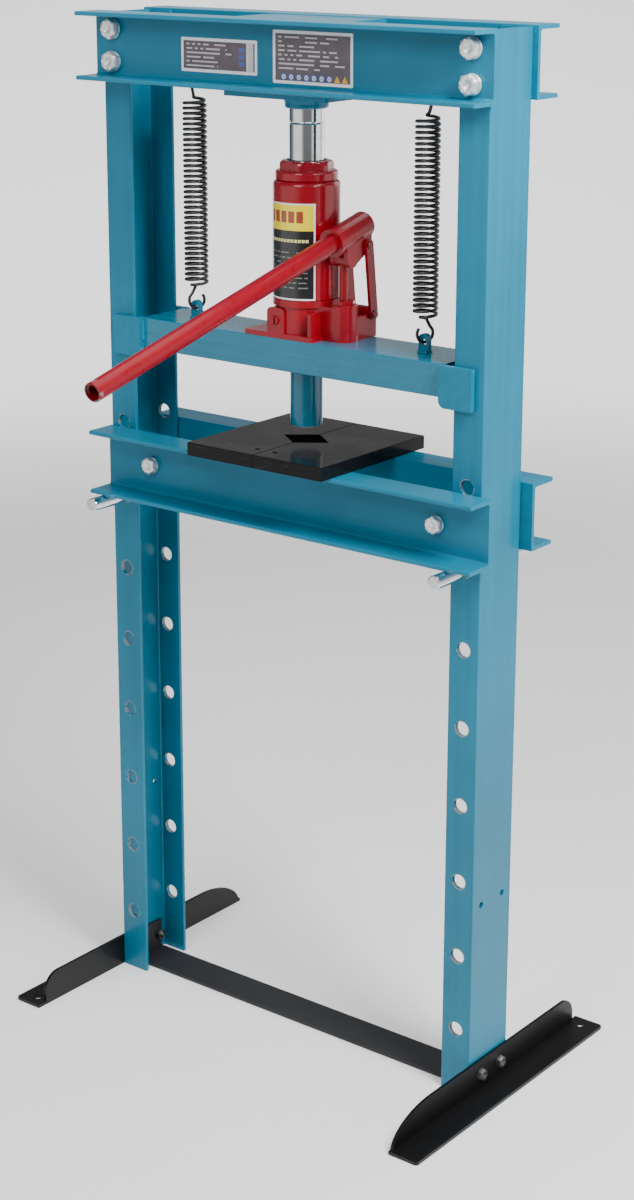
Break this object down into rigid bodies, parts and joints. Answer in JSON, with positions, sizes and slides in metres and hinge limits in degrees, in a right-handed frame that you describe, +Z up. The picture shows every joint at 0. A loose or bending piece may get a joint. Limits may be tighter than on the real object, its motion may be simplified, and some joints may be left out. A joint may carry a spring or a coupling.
{
  "type": "hydraulic shop press",
  "caption": "Floor-standing shop press: bolted channel frame, sprung press beam with a bottle jack on it, and a bed held on pins at chosen heights.",
  "frame": {"origin": "on the floor midway between the columns, on their centre plane, at the underside of the cross brace", "axes": "+X to the operator's right, +Y to the rear (the operator stands at -Y), +Z up"},
  "size_m": [0.636, 0.629, 1.25],
  "materials": {
    "frame_paint": "gloss",
    "foot_paint": "satin",
    "brace_paint": "satin",
    "zinc": "zinc plated",
    "chrome": "polished",
    "plate_black": "gloss",
    "jack_paint": "gloss",
    "spring_black": "satin",
    "head_label": "printed",
    "jack_label": "printed",
    "rubber": "matte"
  },
  "bodies": {
    "frame": {"column_left": "frame_paint", "column_right": "frame_paint", "head_channel_front": "frame_paint", "head_channel_rear": "frame_paint", "head_bolts": "zinc", "head_washers": "zinc", "head_nuts": "zinc", "head_top_plate": "frame_paint", "head_seat_plate": "frame_paint", "ram_seat_ring": "frame_paint", "spring_anchor_left": "frame_paint", "spring_anchor_right": "frame_paint", "rating_label": "head_label", "instruction_label": "head_label", "foot_left": "foot_paint", "foot_right": "foot_paint", "cross_brace": "brace_paint", "foot_bolts": "zinc", "foot_nuts": "zinc", "ram": "chrome", "ram_piston": "zinc", "ram_seal": "rubber", "extension_screw": "chrome", "return_spring_left": "spring_black", "return_spring_right": "spring_black"},
    "press_slide": {"press_beam": "frame_paint", "guide_plates": "frame_paint", "push_rod": "frame_paint", "push_rod_collar": "frame_paint", "spring_eye_left": "frame_paint", "spring_eye_right": "frame_paint", "jack_base": "jack_paint", "jack_reservoir": "jack_paint", "jack_reservoir_cap": "jack_paint", "jack_cylinder": "jack_paint", "gland_nut": "jack_paint", "gland_wiper": "rubber", "pump_cylinder": "jack_paint", "jack_label": "jack_label"},
    "bed": {"bed_channel_front": "frame_paint", "bed_channel_rear": "frame_paint", "bed_spacers": "zinc", "bed_bolts": "zinc", "bed_nuts": "zinc", "bed_washers": "zinc"},
    "press_plate_left": {"press_plate_left": "plate_black"},
    "press_plate_right": {"press_plate_right": "plate_black"},
    "bed_pin_left": {"bed_pin_left": "chrome"},
    "bed_pin_right": {"bed_pin_right": "chrome"},
    "pump_plunger": {"pump_plunger": "jack_paint", "plunger_seal": "rubber"},
    "link": {"link_bars": "jack_paint", "link_lower_pin": "jack_paint", "link_upper_pin": "jack_paint"},
    "socket": {"handle_socket": "jack_paint", "piston_pin": "jack_paint"},
    "handle": {"handle_tube": "jack_paint"},
    "release_valve": {"release_valve": "jack_paint"},
    "filler_plug": {"filler_plug": "rubber"}
  },
  "joints": [
    {"name": "press_slide", "type": "slide", "parent": "frame", "child": "press_slide", "axis": [0, 0, 1], "range_m": [-0.08, 0.042], "stiffness_N_per_m": 2000, "springref_m": 0.0468, "deforming": ["return_spring_left", "return_spring_right"]},
    {"name": "bed_lift", "type": "slide", "parent": "frame", "child": "bed", "axis": [0, 0, 1], "range_m": [0, 0.08]},
    {"name": "plate_left_slide", "type": "slide", "parent": "bed", "child": "press_plate_left", "axis": [-1, 0, 0], "range_m": [0, 0.06]},
    {"name": "plate_right_slide", "type": "slide", "parent": "bed", "child": "press_plate_right", "axis": [1, 0, 0], "range_m": [0, 0.06]},
    {"name": "pin_left_pull", "type": "slide", "parent": "frame", "child": "bed_pin_left", "axis": [0, -1, 0], "range_m": [0, 0.19]},
    {"name": "pin_right_pull", "type": "slide", "parent": "frame", "child": "bed_pin_right", "axis": [0, -1, 0], "range_m": [0, 0.19]},
    {"name": "link_swing", "type": "hinge", "parent": "press_slide", "child": "link", "pos_m": [0.056, 0.0345, 0.9115], "axis": [-1, 0, 0], "range_deg": [-1.2, 3.6]},
    {"name": "handle_hinge", "type": "hinge", "parent": "link", "child": "socket", "pos_m": [0.056, 0.0245, 0.994], "axis": [-1, 0, 0], "range_deg": [-11, 35]},
    {"name": "pump_stroke", "type": "slide", "parent": "press_slide", "child": "pump_plunger", "axis": [0, 0, 1], "range_m": [-0.0065, 0.0195]},
    {"name": "handle_pull", "type": "slide", "parent": "socket", "child": "handle", "axis": [0, -0.9677, -0.2521], "range_m": [0, 0.066]},
    {"name": "release_turn", "type": "hinge", "parent": "press_slide", "child": "release_valve", "pos_m": [-0.015, -0.04, 0.905], "axis": [0, 1, 0], "range_deg": [0, 180]},
    {"name": "plug_pull", "type": "slide", "parent": "press_slide", "child": "filler_plug", "axis": [0, 1, 0], "range_m": [0, 0.01]}
  ],
  "couplings": [
    {"joint": "link_swing", "follows": "handle_hinge", "ratio": 0.0967},
    {"joint": "pump_stroke", "follows": "handle_hinge", "m_per_rad": 0.031}
  ]
}
